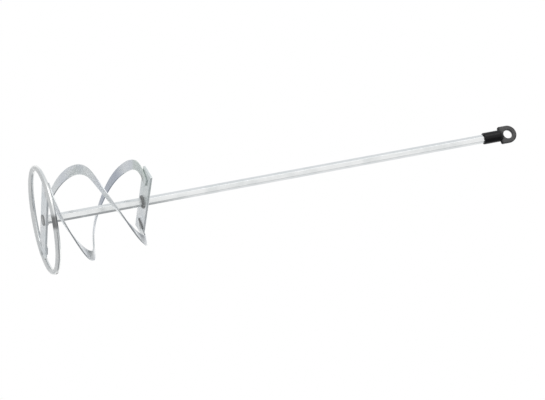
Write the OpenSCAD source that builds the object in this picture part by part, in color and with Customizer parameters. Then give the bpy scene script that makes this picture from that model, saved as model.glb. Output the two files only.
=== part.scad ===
// Mortar mixing paddle: a hexagon shaft with a two-blade helical basket on a
// round-bar ring, and a pull-off plastic cap with a hanging eye.
// Units are millimetres. +Z runs along the shaft from the ring to the cap, and
// z = 0 is the underside of the ring. The upper crossbar lies along X.

/* [Ring] */
// Outer diameter of the bottom ring
ring_d = 140; // [125:1:160]
// Diameter of the round bar that the ring is bent from
ring_bar_d = 7; // [6:0.5:8]

/* [Shaft] */
// Hexagon size across flats
hex_af = 10; // [8:0.5:12]
// Length of the hexagon bar
shaft_len = 620; // [400:10:700]
// Height of the shaft's lower end above the floor
shaft_foot = 1; // [0.5:0.5:3]
// Turn of the hexagon against the crossbars
hex_turn = 8; // [0:1:30]

/* [Crossbars] */
// Width of the upper crossbar
upper_w = 29; // [24:1:32]
// Width of the lower crossbar
lower_w = 24; // [20:1:30]
// Turn of the lower crossbar against the upper one
lower_turn = -6; // [-10:1:10]
// Thickness of both flat bars
bar_t = 3; // [2:0.5:4]
// Height of the upper crossbar's underside
basket_h = 132; // [110:1:160]
// Half the length of the upper crossbar
upper_half = 63.5; // [54:0.5:64]
// How far the slanting cut runs either side of the upper bar's mean end
end_slant = 6.5; // [0:0.5:7]

/* [Blades] */
// Radial width of the blade strip
blade_w = 13; // [11:0.5:15]
// Thickness of the blade strip
blade_t = 2; // [1.5:0.5:3]
// Outer radius where the blade leaves the ring
blade_foot_r = 66; // [62:0.5:66]
// Outer radius where the blade meets the upper crossbar
blade_head_r = 53.5; // [50:0.5:60]
// Angle over which the blade lifts off flat from the ring
foot_ease = 55; // [15:5:60]
// Angle where the blade turns from its first steep stretch to its gentle one
gentle_from = 130; // [120:5:135]
// Angle where the blade turns from its gentle stretch to its second steep one
gentle_to = 190; // [185:5:210]
// Climb of the gentle stretch as a share of the steep one
gentle_share = 0.4; // [0.2:0.1:1]
// Angle where the blade turns from its second steep stretch to its head
head_from = 300; // [280:5:320]
// Climb at the start of the head as a share of the steep one
head_share = 0.12; // [0.02:0.02:0.5]
// Half the angle that each change of climb takes
bend = 24; // [10:2:24]
// Angle by which each blade's foot starts before its turn
foot_lap = 8; // [4:1:10]
// Angle by which each blade's head runs on after its turn
head_lap = 6; // [2:1:10]

/* [Cap] */
// Outer diameter of the cap's sleeve
sleeve_d = 15.4; // [14.5:0.1:18]
// Depth of the hexagon socket
socket_depth = 20; // [14:1:26]
// Wall that closes the socket
cap_end = 3; // [2:0.5:5]
// Gap all round between the hexagon and its socket
cap_gap = 0.05; // [0.02:0.01:0.1]
// Width of the hanging eye
eye_w = 24; // [20:1:28]
// Thickness of the hanging eye
eye_t = 4; // [3:0.5:6]
// Diameter of the hanging hole
eye_hole_d = 12; // [8:0.5:14]
// Turn of the eye about the shaft
eye_turn = 16; // [0:1:60]

/* [Welds] */
// Size of the weld runs round the shaft inside the basket and over it
hub_bead_r = 2.2; // [1.5:0.1:2.6]
// Size of the weld run round the shaft's lower end
foot_bead_r = 1.2; // [0.8:0.1:1.4]
// Size of the short weld runs
run_bead_r = 1.8; // [1.2:0.1:2.2]

/* [Hidden] */

ring_bar_r = ring_bar_d / 2;
ring_r = ring_d / 2 - ring_bar_r;
hex_r = hex_af / sqrt(3);
hex_cut = 1.2;
bar_hole_d = 2 * hex_r + 0.06;
lower_bar_z = (ring_bar_d - bar_t) / 2;
ring_gap = 0.1;
lower_bar_end_r = ring_r - ring_bar_r - ring_gap;
shaft_top = shaft_foot + shaft_len;
blade_z0 = ring_bar_d + blade_t / 2;
blade_z1 = basket_h - blade_t / 2;
climb_marks = [
    [0, 0],
    [foot_ease, 1],
    [gentle_from - bend, 1],
    [gentle_from + bend, gentle_share],
    [gentle_to - bend, gentle_share],
    [gentle_to + bend, 1],
    [head_from - bend, 1],
    [head_from + bend, head_share],
    [360, 0]
];
blade_step = 4;
blade_foot_in_r = blade_foot_r - blade_w;
blade_head_in_r = blade_head_r - blade_w;
foot_run_len = 12;
foot_run_r = 2.1;
head_run_from = -20;
head_run_angle = 25;
ring_run_angle = 18;
butt_angle = 5;
butt_turn = 112;
butt_proud = 0.5;
bead_sink = 0.35;
foot_bead_sink = 0.2;
ring_run_sink = 0.1;
mouth_z = shaft_top - socket_depth;
sleeve_top = shaft_top + cap_end;
eye_r = eye_w / 2;
eye_corner_r = 2;
eye_z = sleeve_top + eye_r;
neck_len = 5;
mouth_round = 0.8;
steel = "silver";
bead = "gray";

// Climb gathered up to angle a, counted from mark i - 1 on
function gathered(a, i = 1) =
    let (from = climb_marks[i - 1], to = climb_marks[i])
    a <= to[0] ? (a - from[0]) * (from[1] + lookup(a, climb_marks)) / 2 :
    (to[0] - from[0]) * (from[1] + to[1]) / 2 + gathered(a, i + 1);

// Steepest climb of the blade, in millimetres a degree
steepest = (blade_z1 - blade_z0) / gathered(360);

// Height of a blade's middle surface at angle a from the start of its turn
function blade_z(a) = blade_z0 + steepest * gathered(min(360, max(0, a)));

// Steepness of the blade at angle a, in millimetres a degree
function blade_climb(a) = steepest * lookup(a, climb_marks);

// Outer radius of the blade at angle a
function blade_r(a) = blade_foot_r + (blade_head_r - blade_foot_r) * min(1, max(0, a / 360));

// Half the blade's thickness measured along Z, at radius r
function blade_half(a, r) =
    blade_t / 2 * sqrt(1 + pow(blade_climb(a) * 180 / (PI * r), 2));

// One corner of the blade's section: inner or outer radius r, side -1 or +1
function blade_corner(a, r, side) =
    [r * cos(a), r * sin(a), blade_z(a) + side * blade_half(a, r)];

// The four corners of the section at angle a
function blade_section(a) =
    let (ro = blade_r(a), ri = ro - blade_w)
    [blade_corner(a, ri, -1), blade_corner(a, ro, -1), blade_corner(a, ro, 1), blade_corner(a, ri, 1)];

module blade() {
    first = -foot_lap;
    last = 360 + head_lap;
    count = ceil((last - first) / blade_step);
    points = [for (i = [0:count]) each blade_section(first + (last - first) * i / count)];
    sides = [
        for (i = [0:count - 1], k = [0:3])
            let (a = 4 * i + k, b = 4 * i + (k + 1) % 4)
            each [[a, a + 4, b + 4], [a, b + 4, b]]
    ];
    n = 4 * count;
    ends = [[0, 1, 2], [0, 2, 3], [n + 2, n + 1, n], [n + 3, n + 2, n]];
    polyhedron(points = points, faces = concat(sides, ends), convexity = 6);
}

// A short straight weld run along Y with rounded ends
module weld_run(length, r) {
    rotate([90, 0, 0]) cylinder(r = r, h = length - 2 * r, center = true, $fn = 24);
    for (side = [-1, 1]) {
        translate([0, side * (length / 2 - r), 0]) sphere(r = r, $fn = 24);
    }
}

// A weld run right round the shaft
module hub_run(z, r = hub_bead_r) {
    translate([0, 0, z]) rotate_extrude($fn = 48)
        translate([hex_r + r / 2, 0]) circle(r = r, $fn = 24);
}

module hex_shaft() {
    color(steel) translate([0, 0, shaft_foot]) rotate([0, 0, hex_turn]) intersection() {
        cylinder(r = hex_r, h = shaft_len, $fn = 6);
        rotate_extrude($fn = 64) polygon([
            [0, 0],
            [hex_r + 0.1 - hex_cut, 0],
            [hex_r + 0.1, hex_cut / 2],
            [hex_r + 0.1, shaft_len - hex_cut / 2],
            [hex_r + 0.1 - hex_cut, shaft_len],
            [0, shaft_len]
        ]);
    }
}

module bottom_ring() {
    color(steel) translate([0, 0, ring_bar_r]) rotate_extrude($fn = 128)
        translate([ring_r, 0]) circle(r = ring_bar_r, $fn = 32);
}

// The raised half collar where the two ends of the ring's bar are joined
module ring_butt_weld() {
    color(bead) translate([0, 0, ring_bar_r]) rotate([0, 0, butt_turn])
        rotate_extrude(angle = butt_angle, $fn = 128) translate([ring_r, 0]) intersection() {
            difference() {
                circle(r = ring_bar_r + butt_proud, $fn = 32);
                circle(r = ring_bar_r, $fn = 32);
            }
            translate([-ring_bar_d, 0]) square([2 * ring_bar_d, ring_bar_d]);
        }
}

module lower_crossbar() {
    color(steel) translate([0, 0, lower_bar_z]) rotate([0, 0, lower_turn]) difference() {
        intersection() {
            translate([-ring_r, -lower_w / 2, 0]) cube([2 * ring_r, lower_w, bar_t]);
            cylinder(r = lower_bar_end_r, h = bar_t, $fn = 96);
        }
        translate([0, 0, -1]) cylinder(d = bar_hole_d, h = bar_t + 2, $fn = 48);
    }
}

module upper_crossbar() {
    long = upper_half + end_slant;
    short = upper_half - end_slant;
    color(steel) translate([0, 0, basket_h]) difference() {
        linear_extrude(height = bar_t) polygon([
            [-long, -upper_w / 2],
            [short, -upper_w / 2],
            [long, upper_w / 2],
            [-short, upper_w / 2]
        ]);
        translate([0, 0, -1]) cylinder(d = bar_hole_d, h = bar_t + 2, $fn = 48);
    }
}

module blade_a() {
    color("gainsboro") rotate([0, 0, 180]) blade();
}

module blade_b() {
    color("gainsboro") blade();
}

module lower_hub_weld_under() {
    color(bead) hub_run(lower_bar_z - foot_bead_sink, foot_bead_r);
}

module lower_hub_weld_over() {
    color(bead) hub_run(lower_bar_z + bar_t + bead_sink);
}

module upper_hub_weld_under() {
    color(bead) hub_run(basket_h - bead_sink);
}

module upper_hub_weld_over() {
    color(bead) hub_run(basket_h + bar_t + bead_sink);
}

// The run over one end of the lower crossbar, in the corner with the ring
module ring_weld() {
    translate([0, 0, lower_bar_z + bar_t + ring_run_sink])
        rotate([0, 0, lower_turn - ring_run_angle / 2])
        rotate_extrude(angle = ring_run_angle, $fn = 128)
            translate([lower_bar_end_r - run_bead_r / 3, 0]) circle(r = run_bead_r, $fn = 24);
}

module ring_weld_a() {
    color(bead) rotate([0, 0, 180]) ring_weld();
}

module ring_weld_b() {
    color(bead) ring_weld();
}

// The run that fills the gap between the lower crossbar and a blade's inner edge
module blade_foot_weld() {
    gap_middle = (lower_bar_z + bar_t + ring_bar_d) / 2;
    translate([blade_foot_in_r, 0, gap_middle + bead_sink]) weld_run(foot_run_len, foot_run_r);
}

module blade_foot_weld_a() {
    color(bead) rotate([0, 0, 180]) blade_foot_weld();
}

module blade_foot_weld_b() {
    color(bead) blade_foot_weld();
}

// The run along the inner edge of a blade's head, under the upper crossbar
module blade_head_weld() {
    translate([0, 0, basket_h - bead_sink]) rotate([0, 0, head_run_from])
        rotate_extrude(angle = head_run_angle, $fn = 128)
            translate([blade_head_in_r, 0]) circle(r = run_bead_r, $fn = 24);
}

module blade_head_weld_a() {
    color(bead) rotate([0, 0, 180]) blade_head_weld();
}

module blade_head_weld_b() {
    color(bead) blade_head_weld();
}

// The outline of the eye: a half round on a square base with small rounded corners
module eye_outline() {
    translate([0, eye_r]) circle(r = eye_r, $fn = 64);
    translate([-eye_r, eye_corner_r]) square([eye_w, eye_r - eye_corner_r]);
    translate([-eye_r + eye_corner_r, 0]) square([eye_w - 2 * eye_corner_r, eye_r]);
    for (side = [-1, 1]) {
        translate([side * (eye_r - eye_corner_r), eye_corner_r]) circle(r = eye_corner_r, $fn = 32);
    }
}

module hanging_cap() {
    color("dimgray") difference() {
        union() {
            translate([0, 0, mouth_z]) rotate_extrude($fn = 64) polygon([
                [0, 0],
                [sleeve_d / 2 - mouth_round, 0],
                [sleeve_d / 2, mouth_round],
                [sleeve_d / 2, sleeve_top - mouth_z],
                [eye_t / 2, sleeve_top - mouth_z + neck_len],
                [0, sleeve_top - mouth_z + neck_len]
            ]);
            rotate([0, 0, eye_turn]) translate([eye_t / 2, 0, sleeve_top]) rotate([90, 0, -90])
                linear_extrude(height = eye_t) eye_outline();
        }
        translate([0, 0, mouth_z - 1]) rotate([0, 0, hex_turn])
            cylinder(r = hex_r + cap_gap * 2 / sqrt(3), h = socket_depth + 1, $fn = 6);
        rotate([0, 0, eye_turn]) translate([0, 0, eye_z]) rotate([0, 90, 0])
            cylinder(d = eye_hole_d, h = sleeve_d + 2, center = true, $fn = 64);
    }
}

hex_shaft();
bottom_ring();
ring_butt_weld();
lower_crossbar();
upper_crossbar();
blade_a();
blade_b();
lower_hub_weld_under();
lower_hub_weld_over();
upper_hub_weld_under();
upper_hub_weld_over();
ring_weld_a();
ring_weld_b();
blade_foot_weld_a();
blade_foot_weld_b();
blade_head_weld_a();
blade_head_weld_b();
hanging_cap();
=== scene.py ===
import bpy
from math import atan2, cos, pi, radians, sin, sqrt
from mathutils import Matrix, Vector, noise


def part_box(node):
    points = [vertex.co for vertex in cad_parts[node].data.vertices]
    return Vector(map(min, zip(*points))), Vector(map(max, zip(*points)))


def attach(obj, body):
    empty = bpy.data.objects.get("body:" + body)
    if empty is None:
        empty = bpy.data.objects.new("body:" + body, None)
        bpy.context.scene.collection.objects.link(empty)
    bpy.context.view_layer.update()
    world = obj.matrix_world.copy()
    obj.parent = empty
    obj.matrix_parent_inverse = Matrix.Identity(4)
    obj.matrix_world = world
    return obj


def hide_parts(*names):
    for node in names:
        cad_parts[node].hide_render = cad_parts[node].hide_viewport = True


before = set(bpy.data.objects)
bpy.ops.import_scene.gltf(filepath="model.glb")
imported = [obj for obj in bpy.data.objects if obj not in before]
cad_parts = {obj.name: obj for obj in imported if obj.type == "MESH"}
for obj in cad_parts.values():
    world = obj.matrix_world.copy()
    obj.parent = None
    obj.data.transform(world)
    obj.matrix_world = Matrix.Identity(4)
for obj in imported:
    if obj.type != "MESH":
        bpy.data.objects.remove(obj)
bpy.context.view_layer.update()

# ---------------------------------------------------------------- sizes, in metres

MM = 0.001

ring_lo, ring_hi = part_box("bottom_ring")
shaft_lo, shaft_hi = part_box("hex_shaft")
lower_lo, lower_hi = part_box("lower_crossbar")
upper_lo, upper_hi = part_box("upper_crossbar")

# The ring's bar is a hair thinner than its CAD node, so that the ring stays inside the CAD box.
RING_SLACK = 0.02 * MM
RING_BAR_R = (ring_hi.z - ring_lo.z) / 2 - RING_SLACK
RING_R = ring_hi.x - (ring_hi.z - ring_lo.z) / 2
RING_Z = (ring_hi.z + ring_lo.z) / 2
RING_JOINT_AT = radians(114.5)
RING_JOINT_HALF = radians(2.6)

HEX_AF = 10 * MM
HEX_R = HEX_AF / sqrt(3)
HEX_TURN = radians(8)
ARRIS_R = 0.45 * MM
SHAFT_CHAMFER = 0.7 * MM

UPPER_W = upper_hi.y - upper_lo.y
LOWER_W = 24 * MM
LOWER_TURN = radians(-6)
LOWER_END_R = 62.9 * MM
UPPER_LONG = upper_hi.x
END_SLANT = 6.5 * MM
UPPER_SHORT = UPPER_LONG - 2 * END_SLANT
BAR_CORNER_R = 0.8 * MM
BAR_EDGE_R = 0.4 * MM

BLADE_W = 13 * MM
BLADE_T = 2 * MM
BLADE_EDGE_R = 0.6 * MM
BLADE_FOOT_R = 66 * MM
BLADE_HEAD_R = 53.5 * MM
BLADE_LOW = ring_hi.z + BLADE_T / 2
BLADE_HIGH = upper_lo.z - BLADE_T / 2

# A blade's climb, in degrees round the shaft from its foot. It starts and ends flat, is
# gentle in the middle, and changes over a bend.
BLADE_SWEEP = 360
FOOT_EASE = 55
GENTLE_FROM = 130
GENTLE_TO = 190
GENTLE_SHARE = 0.4
HEAD_FROM = 300
HEAD_SHARE = 0.12
BEND = 24
FOOT_LAP = 8
HEAD_LAP = 6

# The share of its CAD node's thickness that a weld run's bead fills before its ripple.
BEAD_FILL = 0.86
HUB_FILL = 0.74
RING_RUN_R = 62.3 * MM
HEAD_RUN_R = BLADE_HEAD_R - BLADE_W

SLEEVE_R = 7.7 * MM
SLEEVE_LIP = 0.8 * MM
SOCKET_DEPTH = 20 * MM
SOCKET_R = HEX_R + 0.06 * MM
SOCKET_FLARE = 0.35 * MM
CAP_END = 3 * MM
SHOULDER = 0.6 * MM
NECK = 5 * MM
EYE_W = 24 * MM
EYE_T = 4 * MM
EYE_CORNER_R = 2 * MM
EYE_EDGE_R = 0.9 * MM
EYE_HOLE_R = 6 * MM
EYE_HOLE_EDGE_R = EYE_EDGE_R * 0.7
EYE_TURN = radians(16)
MOUTH_Z = shaft_hi.z - SOCKET_DEPTH
SLEEVE_TOP = shaft_hi.z + CAP_END
EYE_Z = SLEEVE_TOP + EYE_W / 2


# ---------------------------------------------------------------- mesh helpers

def add_mesh(name, points, faces, material, body, smooth_angle=35):
    mesh = bpy.data.meshes.new(name)
    mesh.from_pydata([tuple(p) for p in points], [], faces)
    mesh.validate()
    mesh.update()
    obj = bpy.data.objects.new(name, mesh)
    bpy.context.scene.collection.objects.link(obj)
    mesh.materials.append(material)
    finish_shading(mesh, smooth_angle)
    # Large faces keep their own normals, so the flats stay flat beside their rounded edges.
    obj.modifiers.new("flat_faces", "WEIGHTED_NORMAL").keep_sharp = True
    apply_modifiers(obj)
    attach(obj, body)
    return obj


def finish_shading(mesh, smooth_angle):
    mesh.shade_smooth()
    mesh.set_sharp_from_angle(angle=radians(smooth_angle))


def apply_modifiers(obj):
    bpy.context.view_layer.update()
    shaped = obj.evaluated_get(bpy.context.evaluated_depsgraph_get())
    mesh = bpy.data.meshes.new_from_object(shaped)
    obj.modifiers.clear()
    obj.data = mesh


def loft(loops, closed_path=False):
    """Points and faces through a row of loops that all have the same number of points."""
    count = len(loops[0])
    points = [p for loop in loops for p in loop]
    rows = len(loops) if closed_path else len(loops) - 1
    faces = []
    for i in range(rows):
        a = i * count
        b = (i + 1) % len(loops) * count
        for k in range(count):
            m = (k + 1) % count
            faces.append((a + k, a + m, b + m, b + k))
    if not closed_path:
        last = (len(loops) - 1) * count
        faces.append(tuple(reversed(range(count))))
        faces.append(tuple(range(last, last + count)))
    return points, faces


def rounded_outline(corners, corner_r, inset=0.0, steps=4):
    """A convex outline with rounded corners, drawn in by inset, which is at most corner_r."""
    outline = []
    n = len(corners)
    for i in range(n):
        before, here, after = (Vector(corners[(i + j) % n]) for j in (-1, 0, 1))
        d0 = (here - before).normalized()
        d1 = (after - here).normalized()
        n0 = Vector((d0.y, -d0.x))
        n1 = Vector((d1.y, -d1.x))
        bisector = (n0 + n1).normalized()
        centre = here - bisector * corner_r / max(0.2, bisector.dot(n0))
        turn = atan2(n0.x * n1.y - n0.y * n1.x, n0.dot(n1))
        for k in range(steps + 1):
            a = atan2(n0.y, n0.x) + turn * k / steps
            outline.append(centre + Vector((cos(a), sin(a))) * (corner_r - inset))
    return outline


def edge_profile(height, edge_r, steps=3):
    """Pairs of height and inset up the two rounded edges of a plate."""
    low = [(edge_r * (1 - cos(a)), edge_r * (1 - sin(a))) for a in
           (pi / 2 * k / steps for k in range(steps + 1))]
    return low + [(height - z, inset) for z, inset in reversed(low)]


def plate_loops(corners, z, height, steps=4):
    """A flat bar's loops: its outline is in corners, and its lower face is at z."""
    return [
        [Vector((p.x, p.y, z + dz)) for p in rounded_outline(corners, BAR_CORNER_R, inset, steps)]
        for dz, inset in edge_profile(height, BAR_EDGE_R)
    ]


def circle(radius, count):
    return [(radius * cos(2 * pi * k / count), radius * sin(2 * pi * k / count)) for k in range(count)]


def level_loop(outline, z):
    return [Vector((x, y, z)) for x, y in outline]


# ---------------------------------------------------------------- materials

# The colour sockets of a Mix node go by number, because its sockets share their names.
MIX_FACTOR = 0
MIX_FIRST = 6
MIX_SECOND = 7
MIX_RESULT = 2

# Noise scales of the zinc: its cloudy tone, its crystals, its drawn grain and its soft dents.
CLOUD_SCALE = 38
SPANGLE_SCALE = 500
GRAIN_SCALE = 300
DENT_SCALE = 120

SPANGLE_GREY = (0.5, 0.53, 0.55, 1)
SPANGLE_SHARE = 0.06
CUT_GREY = (0.22, 0.23, 0.235, 1)
HEAT_GREY = (0.26, 0.265, 0.26, 1)
HEAT_SHARE = 0.55
HEAT_ROUGH = 0.15
FINE_RELIEF = 0.1 * MM


class Nodes:
    """A short way to write a node tree."""

    def __init__(self, name):
        self.material = bpy.data.materials.new(name)
        self.material.use_nodes = True
        self.tree = self.material.node_tree
        self.shader = self.tree.nodes["Principled BSDF"]

    def add(self, kind, inputs=(), **settings):
        node = self.tree.nodes.new("ShaderNode" + kind)
        for key, value in settings.items():
            setattr(node, key, value)
        for key, value in dict(inputs).items():
            self.put(node, key, value)
        return node

    def put(self, node, key, value):
        if isinstance(value, bpy.types.NodeSocket):
            self.tree.links.new(value, node.inputs[key])
        else:
            node.inputs[key].default_value = value

    def set(self, **values):
        for key, value in values.items():
            self.put(self.shader, key.replace("_", " "), value)

    def place(self):
        return self.add("TexCoord").outputs["Object"]

    def noise(self, scale, detail=4, stretch=(1, 1, 1), rough=0.5):
        where = self.add("Mapping", {"Vector": self.place(), "Scale": stretch}).outputs["Vector"]
        inputs = {"Vector": where, "Scale": scale, "Detail": detail, "Roughness": rough}
        return self.add("TexNoise", inputs).outputs["Fac"]

    def spread(self, value, low, high, out_low=0.0, out_high=1.0):
        inputs = {"Value": value, "From Min": low, "From Max": high, "To Min": out_low, "To Max": out_high}
        return self.add("MapRange", inputs, interpolation_type="SMOOTHSTEP").outputs["Result"]

    def math(self, operation, a, b=0.0):
        return self.add("Math", {0: a, 1: b}, operation=operation).outputs["Value"]

    def mix(self, factor, a, b):
        inputs = {MIX_FACTOR: factor, MIX_FIRST: a, MIX_SECOND: b}
        return self.add("Mix", inputs, data_type="RGBA").outputs[MIX_RESULT]

    def upright(self, vector):
        return self.add("SeparateXYZ", {0: vector}).outputs["Z"]

    def bump(self, height, strength, distance):
        inputs = {"Height": height, "Strength": strength, "Distance": distance}
        return self.add("Bump", inputs).outputs["Normal"]


def zinc(name, light, shade, rough, grain, grain_depth, heat=(), tints_and_painted_shade=(), cut_edge=0.0):
    """Bright zinc plate. heat holds (centre, radius) of the weld-darkened places, and stains holds
    (centre, radius, colour, strength) of tinted places and of places with painted shade. cut_edge
    is how far the upright faces of a bar or strip are darker than its flats."""
    m = Nodes(name)
    clouds = m.noise(CLOUD_SCALE, detail=3)
    base = m.mix(m.spread(clouds, 0.35, 0.68), light, shade)
    spangle = m.noise(SPANGLE_SCALE, detail=2)
    base = m.mix(m.spread(spangle, 0.6, 0.8, 0.0, SPANGLE_SHARE), base, SPANGLE_GREY)
    lines = m.noise(GRAIN_SCALE, detail=4, stretch=grain, rough=0.55)
    mottle = m.math("ADD", m.math("MULTIPLY", clouds, 0.6), m.math("MULTIPLY", lines, 0.4))
    roughness = m.spread(mottle, 0.3, 0.7, rough - 0.05, rough + 0.08)
    place = m.place()

    def nearness(centre, radius, ragged):
        away = m.add("VectorMath", {0: place, 1: centre}, operation="DISTANCE").outputs["Value"]
        shift = m.math("MULTIPLY", m.math("SUBTRACT", clouds, 0.5), radius * ragged)
        return m.spread(m.math("ADD", away, shift), radius * 0.5, radius, 1.0, 0.0)

    if cut_edge:
        lean = m.upright(m.add("NewGeometry").outputs["Normal"])
        side = m.spread(m.math("ABSOLUTE", lean), 0.3, 0.7, cut_edge, 0.0)
        base = m.mix(side, base, CUT_GREY)
    # Tints of the plate, and painted shade: some of these marks paint dark reflection and shadow into the
    # colour.
    for centre, radius, tint_and_shade, strength in tints_and_painted_shade:
        base = m.mix(m.math("MULTIPLY", nearness(centre, radius, 0.3), strength), base, tint_and_shade)
    for centre, radius in heat:
        near = nearness(centre, radius, 0.9)
        base = m.mix(m.math("MULTIPLY", near, HEAT_SHARE), base, HEAT_GREY)
        roughness = m.math("ADD", roughness, m.math("MULTIPLY", near, HEAT_ROUGH))
    height = m.math("ADD", lines, m.math("MULTIPLY", m.noise(DENT_SCALE, detail=2), 0.8))
    m.set(Base_Color=base, Metallic=1.0, Roughness=roughness,
          Normal=m.bump(height, grain_depth, FINE_RELIEF))
    return m.material


def weld_metal(name, tone):
    m = Nodes(name)
    mottled = m.noise(700, detail=6, rough=0.65)
    dull = (tone, tone, tone, 1)
    bright = (tone * 2.1, tone * 2.12, tone * 2.08, 1)
    base = m.mix(m.spread(mottled, 0.35, 0.7), dull, bright)
    m.set(Base_Color=base, Metallic=0.85, Roughness=m.spread(mottled, 0.3, 0.7, 0.35, 0.6),
          Normal=m.bump(mottled, 0.6, 0.3 * MM))
    return m.material


def cap_plastic(name):
    """Black plastic, with less sheen on the sleeve than on the eye."""
    m = Nodes(name)
    grain = m.noise(2200, detail=3)
    scuffs = m.noise(200, detail=6, rough=0.7)
    worn = m.spread(scuffs, 0.55, 0.75, 0.0, 0.3)
    base = m.mix(worn, (0.004, 0.0036, 0.0046, 1), (0.02, 0.019, 0.022, 1))
    sheen = m.spread(m.upright(m.place()), SLEEVE_TOP, SLEEVE_TOP + EYE_T, 0.22, 0.7)
    m.set(Base_Color=base, Roughness=m.spread(scuffs, 0.3, 0.7, 0.2, 0.32),
          Normal=m.bump(grain, 0.15, FINE_RELIEF), Specular_IOR_Level=sheen)
    return m.material


def floor_paint(name):
    m = Nodes(name)
    tone = m.mix(m.noise(1.5, detail=3), (0.93, 0.93, 0.93, 1), (0.96, 0.96, 0.96, 1))
    m.set(Base_Color=tone, Roughness=0.6)
    return m.material


# Places that the welding has darkened, and their radius.
HUB_HEAT = [((0, 0, lower_lo.z), 8 * MM), ((0, 0, upper_lo.z), 9 * MM)]
FOOT_HEAT = [((s * (BLADE_FOOT_R - BLADE_W), 0, ring_hi.z), 8 * MM) for s in (-1, 1)]
HEAD_HEAT = [((s * HEAD_RUN_R, -s * 8 * MM, upper_lo.z), 7 * MM) for s in (-1, 1)]
RING_HEAT = [((s * LOWER_END_R, -s * 6.5 * MM, lower_hi.z), 7 * MM) for s in (-1, 1)]

# Painted shade: the dark grey of a patch painted on the ring, standing for shadow and dark reflection.
PAINTED_SHADE_GREY = (0.09, 0.09, 0.09, 1)
# Painted reflection: the blue-grey of a dark reflection painted on the far side of a blade.
PAINTED_REFLECTION_BLUE = (0.50, 0.54, 0.62, 1)
GREEN = (0.68, 0.75, 0.70, 1)
# Painted shade: a dark patch on the near side of the ring, where dark reflection and shadow fall.
PAINTED_SHADE_AT = radians(38)
RING_PAINTED_SHADE = [((RING_R * cos(PAINTED_SHADE_AT), RING_R * sin(PAINTED_SHADE_AT), RING_Z), 12 * MM, PAINTED_SHADE_GREY, 0.75)]
BAR_STAINS = [((0.045, -0.005, upper_lo.z), 45 * MM, GREEN, 0.35)]
# The first mark is a painted reflection, blue-grey, on the far side of the second blade; the green marks
# are tints of the plate.
BLADE_TINTS_AND_PAINTED_SHADE = [
    ((-0.02, -0.05, 0.095), 45 * MM, PAINTED_REFLECTION_BLUE, 0.8),
    ((0.05, -0.02, upper_lo.z), 35 * MM, GREEN, 0.7),
    ((0.03, -0.045, 0.075), 25 * MM, GREEN, 0.6),
]

ALONG_SHAFT = (1, 1, 0.02)
ALONG_BARS = (0.05, 1, 1)
NO_GRAIN = (1, 1, 1)

shaft_steel = zinc("shaft_zinc", (0.86, 0.87, 0.87, 1), (0.80, 0.82, 0.82, 1), 0.20,
                   ALONG_SHAFT, 0.12, HUB_HEAT)
ring_steel = zinc("ring_zinc", (0.84, 0.85, 0.84, 1), (0.76, 0.78, 0.78, 1), 0.18,
                  NO_GRAIN, 0.1, RING_HEAT, RING_PAINTED_SHADE)
bar_steel = zinc("flat_bar_zinc", (0.94, 0.96, 0.97, 1), (0.88, 0.92, 0.94, 1), 0.3,
                 ALONG_BARS, 0.15, HUB_HEAT + FOOT_HEAT + HEAD_HEAT + RING_HEAT, BAR_STAINS, 0.12)
blade_steel = zinc("blade_zinc", (0.92, 0.95, 0.95, 1), (0.84, 0.87, 0.91, 1), 0.26,
                   NO_GRAIN, 0.05, FOOT_HEAT + HEAD_HEAT, BLADE_TINTS_AND_PAINTED_SHADE, 0.45)
weld_steel = weld_metal("weld_bead", 0.24)
plastic = cap_plastic("cap_plastic")


# ---------------------------------------------------------------- shaft

def rounded_hexagon(radius):
    corners = [(radius * cos(HEX_TURN + pi / 3 * k), radius * sin(HEX_TURN + pi / 3 * k))
               for k in range(6)]
    return rounded_outline(corners, ARRIS_R)


def make_shaft():
    outline = rounded_hexagon(HEX_R)
    drawn_in = rounded_hexagon(HEX_R - SHAFT_CHAMFER)
    low, high = shaft_lo.z, shaft_hi.z
    rise = SHAFT_CHAMFER / 2
    rows = 40
    length = high - low - 2 * rise
    levels = [(low, drawn_in)]
    levels += [(low + rise + length * k / rows, outline) for k in range(rows + 1)]
    levels += [(high, drawn_in)]
    points, faces = loft([level_loop(shape, z) for z, shape in levels])
    shaft = add_mesh("shaft", points, faces, shaft_steel, "paddle", 25)
    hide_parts("hex_shaft")


# ---------------------------------------------------------------- ring

def ring_point(turn, around, bar_r):
    out = RING_R + bar_r * cos(around)
    return Vector((out * cos(turn), out * sin(turn), RING_Z + bar_r * sin(around)))


def make_ring():
    turns, sides = 240, 32
    loops = [[ring_point(2 * pi * i / turns, 2 * pi * k / sides, RING_BAR_R) for k in range(sides)]
             for i in range(turns)]
    points, faces = loft(loops, closed_path=True)
    ring = add_mesh("ring", points, faces, ring_steel, "paddle", 60)
    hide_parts("bottom_ring")


def make_ring_joint():
    """A flat ripple of weld over the joint in the ring, raised on its upper half only."""
    rows, sides = 14, 20
    loops = []
    for i in range(rows + 1):
        t = i / rows
        swell = sin(pi * t) ** 0.5 * (0.4 + 0.1 * cos(8 * pi * t)) * MM
        turn = RING_JOINT_AT + RING_JOINT_HALF * (2 * t - 1)
        loops.append([ring_point(turn, pi * k / sides, RING_BAR_R + swell) for k in range(sides + 1)])
    points, faces = loft(loops)
    joint = add_mesh("ring_joint", points, faces, weld_steel, "paddle", 60)
    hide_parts("ring_butt_weld")


# ---------------------------------------------------------------- crossbars

def make_lower_crossbar():
    """The ends are rounded to lie along the ring."""
    half = LOWER_W / 2
    sweep = atan2(half, sqrt(LOWER_END_R ** 2 - half ** 2))
    steps = 6
    turns = [LOWER_TURN + sweep * (k / steps - 1) for k in range(2 * steps + 1)]
    arc = [(LOWER_END_R * cos(a), LOWER_END_R * sin(a)) for a in turns]
    corners = arc + [(-x, -y) for x, y in arc]
    points, faces = loft(plate_loops(corners, lower_lo.z, lower_hi.z - lower_lo.z, steps=2))
    bar = add_mesh("lower_bar", points, faces, bar_steel, "paddle")
    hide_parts("lower_crossbar")


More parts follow.
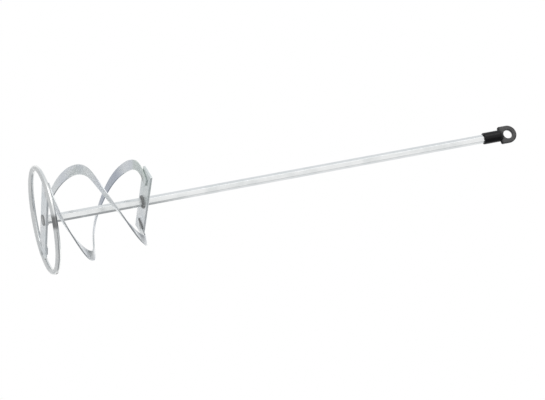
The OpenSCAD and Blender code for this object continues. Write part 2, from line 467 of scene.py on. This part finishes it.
def make_upper_crossbar():
    """The ends are cut on a slant, both the same way."""
    half = UPPER_W / 2
    corners = [(-UPPER_LONG, -half), (UPPER_SHORT, -half), (UPPER_LONG, half), (-UPPER_SHORT, half)]
    points, faces = loft(plate_loops(corners, upper_lo.z, upper_hi.z - upper_lo.z))
    bar = add_mesh("upper_bar", points, faces, bar_steel, "paddle")
    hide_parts("upper_crossbar")


# ---------------------------------------------------------------- blades

# Pairs of angle and climb, as a share of the steepest climb.
CLIMB_MARKS = [
    (0, 0),
    (FOOT_EASE, 1),
    (GENTLE_FROM - BEND, 1),
    (GENTLE_FROM + BEND, GENTLE_SHARE),
    (GENTLE_TO - BEND, GENTLE_SHARE),
    (GENTLE_TO + BEND, 1),
    (HEAD_FROM - BEND, 1),
    (HEAD_FROM + BEND, HEAD_SHARE),
    (BLADE_SWEEP, 0),
]


def gathered(a):
    """The climb gathered up to angle a, and the climb there, both as shares of the steepest."""
    total = 0.0
    for (a0, c0), (a1, c1) in zip(CLIMB_MARKS, CLIMB_MARKS[1:]):
        if a <= a1:
            here = c0 + (c1 - c0) * (a - a0) / (a1 - a0)
            return total + (a - a0) * (c0 + here) / 2, here
        total += (a1 - a0) * (c0 + c1) / 2
    return total, 0.0


STEEPEST = (BLADE_HIGH - BLADE_LOW) / gathered(BLADE_SWEEP)[0]


def on_blade(a):
    return min(BLADE_SWEEP, max(0, a))


def blade_height(a):
    return BLADE_LOW + STEEPEST * gathered(on_blade(a))[0]


def blade_climb(a):
    return STEEPEST * gathered(on_blade(a))[1]


def blade_outer(a):
    return BLADE_FOOT_R + (BLADE_HEAD_R - BLADE_FOOT_R) * on_blade(a) / BLADE_SWEEP


def blade_loop(a, start, outline):
    """The strip's section at angle a: outline runs outwards and across the strip."""
    middle = blade_outer(a) - BLADE_W / 2
    turn = radians(a) + start
    outwards = Vector((cos(turn), sin(turn), 0))
    forwards = Vector((-sin(turn), cos(turn), 0))
    loop = []
    for p in outline:
        r = middle + p.x
        slope = blade_climb(a) * 180 / (pi * r)
        lean = Vector((0, 0, 1)) - forwards * slope
        lean.normalize()
        loop.append(outwards * r + Vector((0, 0, blade_height(a))) + lean * p.y)
    return loop


def strip_outline():
    """The strip's section, with points across its flats too, because they twist."""
    half_w, half_t = BLADE_W / 2, BLADE_T / 2
    corners = [(-half_w, -half_t), (half_w, -half_t), (half_w, half_t), (-half_w, half_t)]
    smooth = rounded_outline(corners, BLADE_EDGE_R)
    parts = 6
    outline = []
    for i, p in enumerate(smooth):
        after = smooth[(i + 1) % len(smooth)]
        outline.append(p)
        if (after - p).length > BLADE_W / 2:
            outline += [p.lerp(after, k / parts) for k in range(1, parts)]
    return outline


def make_blade(name, node, start):
    outline = strip_outline()
    first, last = -FOOT_LAP, BLADE_SWEEP + HEAD_LAP
    steps = 248
    loops = [blade_loop(first + (last - first) * i / steps, start, outline) for i in range(steps + 1)]
    # The ends are eased over a third of a degree, where the section shrinks a little.
    ease = 0.35
    shrunk = [Vector((p.x * 0.97, p.y * 0.8)) for p in outline]
    loops.insert(0, blade_loop(first - ease, start, shrunk))
    loops.append(blade_loop(last + ease, start, shrunk))
    points, faces = loft(loops)
    blade = add_mesh(name, points, faces, blade_steel, "paddle", 40)
    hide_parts(node)


# ---------------------------------------------------------------- welds

def bead_loop(centre, out, radius, phase):
    """One upright section of a weld run, with the ripple of the electrode's small steps."""
    sides = 16
    loop = []
    for k in range(sides):
        a = 2 * pi * k / sides
        spoke = out * cos(a) + Vector((0, 0, sin(a)))
        spot = centre + spoke * radius
        lump = noise.noise(spot * 700) * 0.16 + noise.noise(spot * 260) * 0.12
        loop.append(centre + spoke * radius * (1 + 0.07 * cos(phase) + lump))
    return loop


def make_hub_weld(name, node):
    low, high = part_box(node)
    bead_r = (high.z - low.z) / 2 * HUB_FILL
    run_r = high.x - (high.z - low.z) / 2
    middle = (low.z + high.z) / 2
    turns = 150
    ripples = 15
    loops = []
    for i in range(turns):
        a = 2 * pi * i / turns
        out = Vector((cos(a), sin(a), 0))
        loops.append(bead_loop(out * run_r + Vector((0, 0, middle)), out, bead_r, ripples * a))
    points, faces = loft(loops, closed_path=True)
    bead = add_mesh(name, points, faces, weld_steel, "paddle", 70)
    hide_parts(node)


def make_straight_weld(name, node):
    """A short run along Y, between the lower crossbar and a blade's foot."""
    low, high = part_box(node)
    middle = (low + high) / 2
    radius = (high.z - low.z) / 2 * BEAD_FILL
    half = (high.y - low.y) / 2 - radius * 0.2
    place_weld(name, node, radius, lambda t: Vector((middle.x, t * half, middle.z)),
               lambda t: Vector((1, 0, 0)))


def make_curved_weld(name, node, run_r, first, last):
    """A run along an arc about the shaft, from azimuth first to azimuth last in degrees."""
    low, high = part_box(node)
    height = (low.z + high.z) / 2
    radius = (high.z - low.z) / 2 * BEAD_FILL

    def out(t):
        a = radians(first + (last - first) * (t + 1) / 2)
        return Vector((cos(a), sin(a), 0))

    place_weld(name, node, radius, lambda t: out(t) * run_r + Vector((0, 0, height)), out)


def place_weld(name, node, radius, centre, out):
    """A run with tapered ends. centre and out go from t = -1 to t = 1 along it."""
    rows = 44
    ripples = 17
    loops = []
    for i in range(rows + 1):
        t = 2 * i / rows - 1
        taper = max(0.03, (1 - abs(t) ** 5) ** 0.5)
        loops.append(bead_loop(centre(t), out(t), radius * taper, ripples * t))
    points, faces = loft(loops)
    bead = add_mesh(name, points, faces, weld_steel, "paddle", 70)
    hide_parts(node)


# ---------------------------------------------------------------- cap

CAP_SIDES = 96


def eye_outline(inset):
    """The eye's outline about the hole's centre: a half round on a square base."""
    half = EYE_W / 2 - inset
    outline = []
    for x, y in circle(1, CAP_SIDES):
        if y >= 0:
            outline.append((half * x, half * y))
            continue
        reach = half / max(abs(x), abs(y))
        cx, cy = half - EYE_CORNER_R, -(half - EYE_CORNER_R)
        if abs(reach * x) > cx and reach * y < cy:
            b, c = abs(x) * cx + y * cy, cx * cx + cy * cy - EYE_CORNER_R * EYE_CORNER_R
            reach = b + sqrt(max(0.0, b * b - c))
        outline.append((reach * x, reach * y))
    return outline


def eye_part():
    """The flat eye, turned about the shaft: its loops run round the ring's own section."""
    outer = [(z, eye_outline(inset)) for z, inset in edge_profile(EYE_T, EYE_EDGE_R, 4)]
    hole = [(z, circle(EYE_HOLE_R + inset, CAP_SIDES))
            for z, inset in reversed(edge_profile(EYE_T, EYE_HOLE_EDGE_R, 4))]
    turned = Matrix.Rotation(EYE_TURN, 3, "Z")
    loops = [[turned @ Vector((z - EYE_T / 2, x, 0)) + Vector((0, 0, EYE_Z + y)) for x, y in shape]
             for z, shape in outer + hole]
    return loft(loops, closed_path=True)


def hexagon_by_angle(radius):
    """Points on a hexagon, evenly spaced by angle so that they pair with a circle's."""
    outline = []
    for k in range(CAP_SIDES):
        a = 2 * pi * k / CAP_SIDES
        off = (a - HEX_TURN) % (pi / 3) - pi / 6
        r = radius * cos(pi / 6) / cos(off)
        outline.append((r * cos(a), r * sin(a)))
    return outline


def sleeve_part():
    """From the blind end of the socket down to the mouth, then up outside to the neck."""
    socket = hexagon_by_angle(SOCKET_R)
    levels = [(socket, shaft_hi.z), (socket, MOUTH_Z + SLEEVE_LIP),
              (hexagon_by_angle(SOCKET_R + SOCKET_FLARE), MOUTH_Z)]
    lip_steps, neck_steps = 4, 6
    for k in range(lip_steps + 1):
        a = pi / 2 * k / lip_steps
        r = SLEEVE_R - SLEEVE_LIP * (1 - sin(a))
        levels.append((circle(r, CAP_SIDES), MOUTH_Z + SLEEVE_LIP * (1 - cos(a))))
    levels.append((circle(SLEEVE_R, CAP_SIDES), (MOUTH_Z + SLEEVE_TOP) / 2))
    levels.append((circle(SLEEVE_R, CAP_SIDES), SLEEVE_TOP - SHOULDER))
    for k in range(1, neck_steps + 1):
        a = pi / 2 * k / neck_steps
        r = EYE_T / 2 + (SLEEVE_R - EYE_T / 2) * cos(a)
        levels.append((circle(r, CAP_SIDES), SLEEVE_TOP - SHOULDER + NECK * sin(a)))
    return loft([level_loop(shape, z) for shape, z in levels])


def make_cap():
    """The sleeve and the eye are fused, and the corner between them is softened."""
    points, faces = sleeve_part()
    eye_points, eye_faces = eye_part()
    shift = len(points)
    faces += [tuple(i + shift for i in face) for face in eye_faces]
    cap = add_mesh("cap", points + eye_points, faces, plastic, "cap", 180)
    fuse = cap.modifiers.new("fuse", "REMESH")
    fuse.mode = "VOXEL"
    fuse.voxel_size = 0.32 * MM
    soften = cap.modifiers.new("soften", "SMOOTH")
    soften.factor = 0.5
    soften.iterations = 6
    apply_modifiers(cap)
    finish_shading(cap.data, 180)
    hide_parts("hanging_cap")


# ---------------------------------------------------------------- build

make_shaft()
make_ring()
make_ring_joint()
make_lower_crossbar()
make_upper_crossbar()
make_blade("blade_first", "blade_a", pi)
make_blade("blade_second", "blade_b", 0.0)
for node in ("lower_hub_weld_under", "lower_hub_weld_over", "upper_hub_weld_under", "upper_hub_weld_over"):
    make_hub_weld(node.replace("hub_weld", "hub_bead"), node)
for end, turn in (("_a", 180), ("_b", 0)):
    make_curved_weld("ring_bead" + end, "ring_weld" + end, RING_RUN_R, turn - 15, turn + 3)
    make_straight_weld("blade_foot_bead" + end, "blade_foot_weld" + end)
    make_curved_weld("blade_head_bead" + end, "blade_head_weld" + end, HEAD_RUN_R, turn - 20, turn + 5)
make_cap()


# ---------------------------------------------------------------- studio

# The camera looks up at the object from below the ring. It lies on its side, so that the shaft
# runs across the view, and its roll lets the cap's end rise. Azimuths are in degrees.
CAMERA_AZIMUTH = 34.07
CAMERA_ELEVATION = -15.97
CAMERA_ROLL = radians(10.48)
CAMERA_DISTANCE = 3.223
CAMERA_LENS = 165.14
CAMERA_SENSOR = 36
CAMERA_CLIP = 50
AIM_HEIGHT = 0.3066
AIM_DROP = 0.0286

FLOOR_LEVEL = -3.4
FLOOR_REACH = 40

# Dark flags and grey cards around the white studio: azimuth, elevation, inner and outer
# half-angle, and the light that is left at the middle.
FLAGS = [
    (72, 20, 13, 27, (0.28, 0.29, 0.30)),
    (105, 18, 14, 34, (0.30, 0.31, 0.32)),
    (150, 18, 14, 36, (0.36, 0.37, 0.38)),
    (-80, 24, 10, 34, (0.80, 0.82, 0.84)),
    (34, -20, 8, 30, (0.45, 0.46, 0.47)),
    (70, 78, 10, 36, (0.40, 0.42, 0.45)),
    (214, 58, 10, 27, (0.12, 0.13, 0.14)),
]


def direction(azimuth, elevation):
    a, e = radians(azimuth), radians(elevation)
    return Vector((cos(a) * cos(e), sin(a) * cos(e), sin(e)))


def add_camera():
    toward = direction(CAMERA_AZIMUTH, CAMERA_ELEVATION)
    along = (Vector((0, 0, 1)) - toward * toward.z).normalized()
    above = along.cross(-toward)
    right = along * cos(CAMERA_ROLL) - above * sin(CAMERA_ROLL)
    up = along * sin(CAMERA_ROLL) + above * cos(CAMERA_ROLL)
    stand = Vector((0, 0, AIM_HEIGHT)) + toward * CAMERA_DISTANCE
    back = (toward * CAMERA_DISTANCE + up * AIM_DROP).normalized()
    camera = bpy.data.objects.new("camera", bpy.data.cameras.new("camera"))
    camera.data.lens = CAMERA_LENS
    camera.data.sensor_width = CAMERA_SENSOR
    camera.data.clip_end = CAMERA_CLIP
    axes = Matrix((right, back.cross(right), back)).transposed()
    camera.matrix_world = Matrix.Translation(stand) @ axes.to_4x4()
    bpy.context.scene.collection.objects.link(camera)
    bpy.context.scene.camera = camera


def add_panel(name, target, azimuth, elevation, distance, size, radiance):
    """A soft panel seen from the target at the given direction, with an even radiance."""
    light = bpy.data.lights.new(name, "AREA")
    light.shape = "RECTANGLE"
    light.size, light.size_y = size
    light.energy = radiance * pi * size[0] * size[1]
    obj = bpy.data.objects.new(name, light)
    away = direction(azimuth, elevation)
    obj.location = Vector(target) + away * distance
    obj.rotation_euler = (-away).to_track_quat("-Z", "Y").to_euler()
    bpy.context.scene.collection.objects.link(obj)


def add_floor():
    mesh = bpy.data.meshes.new("floor")
    corners = [(-1, -1), (1, -1), (1, 1), (-1, 1)]
    mesh.from_pydata([(x * FLOOR_REACH, y * FLOOR_REACH, 0) for x, y in corners], [], [(0, 1, 2, 3)])
    mesh.materials.append(floor_paint("floor_paint"))
    floor = bpy.data.objects.new("floor", mesh)
    floor.location.z = FLOOR_LEVEL
    bpy.context.scene.collection.objects.link(floor)


def add_world():
    """A white studio all round, darkened softly at each flag."""
    world = bpy.data.worlds.new("studio")
    world.use_nodes = True
    tree = world.node_tree
    way = tree.nodes.new("ShaderNodeTexCoord").outputs["Generated"]
    light = None
    for azimuth, elevation, inner, outer, left in FLAGS:
        dot = tree.nodes.new("ShaderNodeVectorMath")
        dot.operation = "DOT_PRODUCT"
        tree.links.new(way, dot.inputs[0])
        dot.inputs[1].default_value = direction(azimuth, elevation)
        fade = tree.nodes.new("ShaderNodeMapRange")
        fade.interpolation_type = "SMOOTHSTEP"
        tree.links.new(dot.outputs["Value"], fade.inputs["Value"])
        fade.inputs["From Min"].default_value = cos(radians(outer))
        fade.inputs["From Max"].default_value = cos(radians(inner))
        mix = tree.nodes.new("ShaderNodeMix")
        mix.data_type = "RGBA"
        tree.links.new(fade.outputs["Result"], mix.inputs[MIX_FACTOR])
        mix.inputs[MIX_FIRST].default_value = (1, 1, 1, 1)
        mix.inputs[MIX_SECOND].default_value = (*left, 1)
        if light:
            tree.links.new(light, mix.inputs[MIX_FIRST])
        light = mix.outputs[MIX_RESULT]
    backdrop = tree.nodes["Background"]
    tree.links.new(light, backdrop.inputs["Color"])
    backdrop.inputs["Strength"].default_value = 1.0
    bpy.context.scene.world = world


add_camera()
add_panel("key_panel", (0, 0, 0.45), -18, 16, 2.0, (1.2, 1.0), 1.5)
add_panel("strip_panel", (0, 0, 0.46), 162, 16, 0.6, (0.34, 0.62), 0.5)
add_floor()
add_world()
bpy.context.scene.view_settings.view_transform = "Standard"
